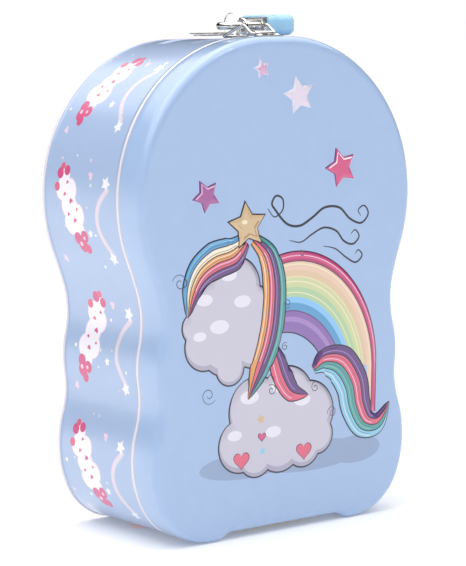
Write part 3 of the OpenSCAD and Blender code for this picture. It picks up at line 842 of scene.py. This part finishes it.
# ---- Hardware ---------------------------------------------------------------------------
def bend(corners, radii, closed=False, count=7):
    """A path through corners in space, each rounded by its radius."""
    p = [np.array(c, float) for c in corners]
    out = []
    for i, corner in enumerate(p):
        if not closed and i in (0, len(p) - 1):
            out.append(corner)
            continue
        before, after = p[i - 1] - corner, p[(i + 1) % len(p)] - corner
        a = corner + before / np.linalg.norm(before) * radii[i]
        b = corner + after / np.linalg.norm(after) * radii[i]
        for t in np.linspace(0, 1, count):
            out.append((1 - t) ** 2 * a + 2 * t * (1 - t) * corner + t * t * b)
    return out


def wire(name, path, radius, body, mat, closed=False):
    """A round wire along a path of millimetre points, as a mesh."""
    curve = bpy.data.curves.new(name + "_path", "CURVE")
    curve.dimensions = "3D"
    curve.bevel_depth = radius * MM
    curve.bevel_resolution = 5
    curve.use_fill_caps = True
    spline = curve.splines.new("POLY")
    spline.points.add(len(path) - 1)
    spline.points.foreach_set("co", [c for q in path for c in (q[0] * MM, q[1] * MM, q[2] * MM, 1)])
    spline.use_cyclic_u = closed
    holder = bpy.data.objects.new(name + "_path", curve)
    bpy.context.scene.collection.objects.link(holder)
    mesh = bpy.data.meshes.new_from_object(holder.evaluated_get(bpy.context.evaluated_depsgraph_get()))
    bpy.data.objects.remove(holder)
    mesh.name = name
    mesh.materials.clear()
    mesh.materials.append(mat)
    mesh.polygons.foreach_set("use_smooth", [True] * len(mesh.polygons))
    mesh.set_sharp_from_angle(angle=math.radians(50))
    piece = bpy.data.objects.new(name, mesh)
    bpy.context.scene.collection.objects.link(piece)
    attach(piece, body)
    return piece


def soften(node, body, mat, width):
    """Stands in for a CAD part with the same shape, its edges rounded over."""
    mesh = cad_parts[node].data.copy()
    mesh.materials.clear()
    mesh.materials.append(mat)
    bm = bmesh.new()
    bm.from_mesh(mesh)
    bmesh.ops.remove_doubles(bm, verts=bm.verts, dist=1e-7)
    bmesh.ops.dissolve_limit(bm, angle_limit=math.radians(0.5), verts=bm.verts, edges=bm.edges)
    bm.to_mesh(mesh)
    bm.free()
    mesh.polygons.foreach_set("material_index", [0] * len(mesh.polygons))
    mesh.polygons.foreach_set("use_smooth", [True] * len(mesh.polygons))
    piece = bpy.data.objects.new(node + "_finished", mesh)
    bpy.context.scene.collection.objects.link(piece)
    if width:
        mod = piece.modifiers.new("edges", "BEVEL")
        mod.width = width * MM
        mod.segments = 2
        mod.limit_method = "ANGLE"
        mod.angle_limit = math.radians(35)
        mod.use_clamp_overlap = True
        apply_modifiers(piece)
    piece.data.set_sharp_from_angle(angle=math.radians(42))
    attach(piece, body)
    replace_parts(piece, node)
    return piece


def cut(piece, tool):
    """Takes a scratch object's volume out of a piece."""
    mod = piece.modifiers.new("cut", "BOOLEAN")
    mod.operation = "DIFFERENCE"
    mod.solver = "EXACT"
    mod.object = tool
    apply_modifiers(piece)
    bpy.data.objects.remove(tool)


def block(low, high, turn=0.0):
    """A scratch box between two millimetre corners, turned about Z at its low corner."""
    size = [b - a for a, b in zip(low, high)]
    mesh = bpy.data.meshes.new("tool")
    bm = bmesh.new()
    bmesh.ops.create_cube(bm, size=1.0)
    grown = Matrix.Diagonal((*[c * MM for c in size], 1)) @ Matrix.Translation((0.5, 0.5, 0.5))
    bm.transform(Matrix.Translation([c * MM for c in low]) @ Matrix.Rotation(turn, 4, "Z") @ grown)
    bm.to_mesh(mesh)
    bm.free()
    tool = bpy.data.objects.new("tool", mesh)
    bpy.context.scene.collection.objects.link(tool)
    return tool


def bar(x0, x1, y, z, r):
    """A scratch cylinder along X."""
    mesh = bpy.data.meshes.new("tool")
    bm = bmesh.new()
    bmesh.ops.create_cone(bm, cap_ends=True, segments=48, radius1=r * MM, radius2=r * MM,
                          depth=(x1 - x0) * MM)
    bm.transform(Matrix.Translation(((x0 + x1) / 2 * MM, y * MM, z * MM)) @ Matrix.Rotation(
        math.pi / 2, 4, "Y"))
    bm.to_mesh(mesh)
    bm.free()
    tool = bpy.data.objects.new("tool", mesh)
    bpy.context.scene.collection.objects.link(tool)
    return tool


# Places as in the CAD: corners of the hasp's wire as (y, z), then the staple and padlock.
PIVOT = (FRONT_Y + 10.1, TOP_Z + 1.05)
APEX = (FRONT_Y + 15, TOP_Z + 4.5)
TAIL = (FRONT_Y + 27.5, TOP_Z + 0.2)
HASP_HALF = 5.4
HASP_R = 0.55
STAPLE_Y = FRONT_Y + 22.7
STAPLE_HALF = 2.6
STAPLE_R = 0.6
SHACKLE_PITCH = 10.0
SHACKLE_R = 1.4
SHACKLE_Z = TOP_Z + 4.1
BEND_X = -0.4
LEG_A_END, LEG_B_END = 11.5, 14.4
LOCK_Y = STAPLE_Y + SHACKLE_PITCH / 2
BOLT_X, BOLT_T = 9.8, 1.2
RING_X, RING_R = 2.5, 4.4
RING_Z = TOP_Z + 4.3
RING_WIRE_R = 0.175
CASE_HALF_W, CASE_HALF_T = 7.6, 3
KEYHOLE_R = 3.0


def make_hasp():
    """The bent wire loop that hangs from the bracket and drops over the staple."""
    half = HASP_HALF
    right = [(half, *PIVOT), (half, *APEX), (half, *TAIL)]
    left = [(-x, y, z) for x, y, z in right[::-1]]
    path = bend(right + left, [1.2, 1.3, 1.3, 1.3, 1.3, 1.2], closed=True)
    piece = wire("hasp_loop", path, HASP_R, "hasp", NICKEL, closed=True)
    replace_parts(piece, "hasp_wire")


def make_staple():
    """The wire eye on the box that the padlock goes through."""
    half, r = STAPLE_HALF, STAPLE_R
    arc_z = TOP_Z + 6.9 - r - half
    a = np.linspace(0, math.pi, 25)
    foot = TOP_Z - 0.5
    path = [(0, STAPLE_Y + half, foot)] + [
        (0, STAPLE_Y + half * math.cos(t), arc_z + half * math.sin(t)) for t in a] + [
        (0, STAPLE_Y - half, foot)]
    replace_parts(wire("staple_loop", path, r, "box", NICKEL), "staple")


def make_shackle():
    """The shackle's bow, with the bolt's notch in its short leg."""
    r = SHACKLE_PITCH / 2
    a = np.linspace(math.pi / 2, 3 * math.pi / 2, 33)
    path = [(LEG_B_END, LOCK_Y + r, SHACKLE_Z)] + [
        (BEND_X + r * math.cos(t), LOCK_Y + r * math.sin(t), SHACKLE_Z) for t in a] + [
        (LEG_A_END, LOCK_Y - r, SHACKLE_Z)]
    piece = wire("shackle_bow", path, SHACKLE_R, "shackle_body", NICKEL)
    tip_y = STAPLE_Y + SHACKLE_R - 0.8
    low, high = SHACKLE_Z - 3, SHACKLE_Z + 3
    bolt_end = BOLT_X + BOLT_T
    cut(piece, block((BOLT_X - 0.1, tip_y - 0.1, low), (bolt_end + 0.1, LOCK_Y, high)))
    cut(piece, block((bolt_end, tip_y - 0.1, low), (bolt_end + 3, tip_y + 2.9, high), math.atan(0.3)))
    piece.data.set_sharp_from_angle(angle=math.radians(50))
    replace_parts(piece, "shackle")


def make_ring():
    """A split ring: two flat turns of thin wire side by side."""
    a = np.linspace(0, 4 * math.pi, 145)
    side = 0.17 * np.tanh(3 * (a / (2 * math.pi) - 1))
    path = [(RING_X + d, STAPLE_Y + SHACKLE_PITCH + (RING_R + 0.1) * math.cos(t),
             RING_Z + (RING_R + 0.1) * math.sin(t)) for t, d in zip(a, side)]
    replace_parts(wire("split_ring", path, RING_WIRE_R, "ring", NICKEL), "key_ring")


def rounded_loop(half_w, half_t, corner):
    """Points of a rounded rectangle in Y and Z about the origin."""
    points = []
    for cy, cz, start in ((1, 1, 0), (-1, 1, 90), (-1, -1, 180), (1, -1, 270)):
        for a in np.radians(start + np.linspace(0, 90, 9)):
            points.append((cy * (half_w - corner) + corner * math.cos(a),
                           cz * (half_t - corner) + corner * math.sin(a)))
    return points


def make_cover():
    """The lock's soft plastic jacket, open at the shackle and round the keyhole."""
    low, high = (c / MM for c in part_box("lock_cover"))
    x0, x1 = low[0], high[0]
    half_w, half_t, round_r = (high[1] - low[1]) / 2, (high[2] - low[2]) / 2, 2.6
    seam = x0 + 4.4
    profile = [(x0, 0.45), (x0 + 0.12, 0.15), (x0 + 0.45, 0), (seam - 0.4, 0), (seam - 0.22, 0.12),
               (seam, 0.16), (seam + 0.22, 0.12), (seam + 0.4, 0)]
    profile += [(x1 - round_r + round_r * math.sin(a), round_r * (1 - math.cos(a)))
                for a in np.linspace(0, math.pi / 2, 10)]
    verts, faces = [], []
    for x, inset in profile:
        corner = max(round_r - inset, 0.2)
        verts += [(x, LOCK_Y + y, SHACKLE_Z + z)
                  for y, z in rounded_loop(half_w - inset, half_t - inset, corner)]
    n = len(verts) // len(profile)
    for r in range(len(profile) - 1):
        faces += [(r * n + i, r * n + (i + 1) % n, (r + 1) * n + (i + 1) % n, (r + 1) * n + i)
                  for i in range(n)]
    faces += [tuple(range(n))[::-1], tuple(range((len(profile) - 1) * n, len(profile) * n))]
    piece = new_piece("lock_jacket", verts, faces, [LOCK_BLUE], [0] * len(faces), "lock")
    cut(piece, block((x0 - 1, LOCK_Y - CASE_HALF_W, SHACKLE_Z - CASE_HALF_T),
                     (x1 - 1.6, LOCK_Y + CASE_HALF_W, SHACKLE_Z + CASE_HALF_T)))
    cut(piece, bar(x0, x1 + 2, LOCK_Y, SHACKLE_Z, KEYHOLE_R))
    piece.data.set_sharp_from_angle(angle=math.radians(50))
    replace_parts(piece, "lock_cover")


def make_hardware():
    """Wires and the lock's jacket built anew, and every other CAD part with softened edges."""
    make_hasp()
    make_staple()
    make_shackle()
    make_ring()
    make_cover()
    for node, body, mat, slot_name, width in (
            ("hasp_bracket", "lid", NICKEL, "hardware", 0.14),
            ("hasp_bracket_rivets", "lid", NICKEL, "hardware", 0.06),
            ("staple_plate", "box", NICKEL, "hardware", 0.1),
            ("lid_hinge_leaf", "lid", STEEL, "hinge_steel", 0.08),
            ("base_hinge_leaf", "box", STEEL, "hinge_steel", 0.08),
            ("lid_hinge_rivets", "lid", STEEL, "hinge_steel", 0.06),
            ("base_hinge_rivets", "box", STEEL, "hinge_steel", 0.06),
            ("hinge_pin", "box", STEEL, "hinge_steel", 0.1),
            ("lock_end_plate", "lock", LOCK_STEEL, "lock_steel", 0.12),
            ("lock_case", "lock", LOCK_STEEL, "lock_steel", 0.1),
            ("lock_bolt", "bolt", BRASS, "lock_brass", 0.06),
            ("lock_plug", "plug", BRASS, "lock_brass", 0.1),
            ("shackle_spring", "lock", LOCK_STEEL, "lock_steel", 0),
            ("key_1", "first_key", NICKEL, "hardware", 0.12),
            ("key_2", "second_key", NICKEL, "hardware", 0.12)):
        soften(node, body, mat, width)


make_lid()
make_wall()
make_back()
make_hardware()

# ---- Camera, floor and light ---------------------------------------------------------
# Metres and degrees; a negative azimuth is a view from the box's -X side
TARGET = Vector((0, 0, 75 * MM))
CAMERA_AZIMUTH, CAMERA_RISE, CAMERA_ROLL = -36.84, 7.349, -1.0465
CAMERA_DISTANCE = 0.8279
LIGHTS_AIM = Vector((0, 0, 0.1))


def make_camera():
    """A long lens a little above the box, looking at its front left."""
    a, e = math.radians(CAMERA_AZIMUTH), math.radians(CAMERA_RISE)
    back = Vector((math.sin(a) * math.cos(e), -math.cos(a) * math.cos(e), math.sin(e)))
    right = (-back).cross(Vector((0, 0, 1))).normalized()
    up = right.cross(-back)
    c, s = math.cos(math.radians(CAMERA_ROLL)), math.sin(math.radians(CAMERA_ROLL))
    right, up = c * right + s * up, c * up - s * right
    data = bpy.data.cameras.new("camera")
    data.lens = 139.5
    data.sensor_width = 36
    data.shift_x, data.shift_y = 0.0021, 0.0675
    data.clip_start = 0.01
    camera = bpy.data.objects.new("camera", data)
    camera.matrix_world = Matrix.Translation(TARGET + back * CAMERA_DISTANCE) @ Matrix(
        (right, up, back)).transposed().to_4x4()
    bpy.context.scene.collection.objects.link(camera)
    bpy.context.scene.camera = camera


def make_floor():
    """A pale sheet of studio paper under the box."""
    mat, bsdf = shade("paper")
    vary_colour(mat, bsdf, noise(mat, 6), (0.90, 0.90, 0.90), (0.93, 0.93, 0.93))
    bsdf.inputs["Roughness"].default_value = 0.7
    bsdf.inputs["Emission Color"].default_value = (1, 1, 1, 1)
    bsdf.inputs["Emission Strength"].default_value = 0.16
    mesh = bpy.data.meshes.new("paper")
    r = 40.0
    mesh.from_pydata([(-r, -r, 0), (r, -r, 0), (r, r, 0), (-r, r, 0)], [], [(0, 1, 2, 3)])
    mesh.materials.append(mat)
    floor = bpy.data.objects.new("paper", mesh)
    bpy.context.scene.collection.objects.link(floor)


def area_light(name, place, size, power):
    """A rectangular lamp that looks at the middle of the box."""
    data = bpy.data.lights.new(name, "AREA")
    data.shape = "RECTANGLE"
    data.size, data.size_y = size
    data.energy = power
    light = bpy.data.objects.new(name, data)
    light.location = place
    light.rotation_euler = (LIGHTS_AIM - Vector(place)).to_track_quat("-Z", "Y").to_euler()
    bpy.context.scene.collection.objects.link(light)


# Brightness of the studio by the sine of the height above the horizon: what lights
# the scene, and what shows in reflections, with the dark room between floor and lamps
SKY = [(0.0, 1.0), (0.08, 1.0), (0.16, 0.5), (0.62, 0.5), (0.8, 1.15), (1.0, 1.6)]
ROOM = [(0.0, 0.45), (0.05, 0.4), (0.1, 0.02), (0.46, 0.02), (0.55, 1.7), (1.0, 2.4)]


def sky_ramp(nodes, levels):
    """A grey ramp with a stop for each (position, level)."""
    node = nodes.new("ShaderNodeValToRGB")
    node.color_ramp.interpolation = "EASE"
    stops = node.color_ramp.elements
    stops[0].position, stops[1].position = levels[0][0], levels[-1][0]
    for position, _ in levels[1:-1]:
        stops.new(position)
    for stop, (_, level) in zip(stops, levels):
        stop.color = (level, level, level, 1)
    return node


def make_world():
    """White at the horizon, dimmer half way up, with a bright ceiling."""
    world = bpy.data.worlds.new("studio")
    world.use_nodes = True
    nodes, links = world.node_tree.nodes, world.node_tree.links
    coord = nodes.new("ShaderNodeTexCoord")
    split = nodes.new("ShaderNodeSeparateXYZ")
    rays = nodes.new("ShaderNodeLightPath")
    mix = nodes.new("ShaderNodeMix")
    mix.data_type = "RGBA"
    links.new(coord.outputs["Generated"], split.inputs["Vector"])
    colours_in = [i for i in mix.inputs if i.type == "RGBA"]
    colour_out = next(o for o in mix.outputs if o.type == "RGBA")
    for levels, socket in zip((SKY, ROOM), colours_in):
        node = sky_ramp(nodes, levels)
        links.new(split.outputs["Z"], node.inputs["Fac"])
        links.new(node.outputs["Color"], socket)
    links.new(rays.outputs["Is Glossy Ray"], mix.inputs["Factor"])
    links.new(colour_out, nodes["Background"].inputs["Color"])
    bpy.context.scene.world = world
    bpy.context.scene.view_settings.view_transform = "Standard"


make_camera()
make_floor()
make_world()
area_light("ceiling", (-0.25, 0.1, 1.2), (1.0, 1.2), 6)
area_light("strip", (-0.75, -0.55, 0.8), (0.06, 0.9), 0.9)
area_light("key", (0.35, -0.75, 0.95), (0.16, 0.16), 0.5)
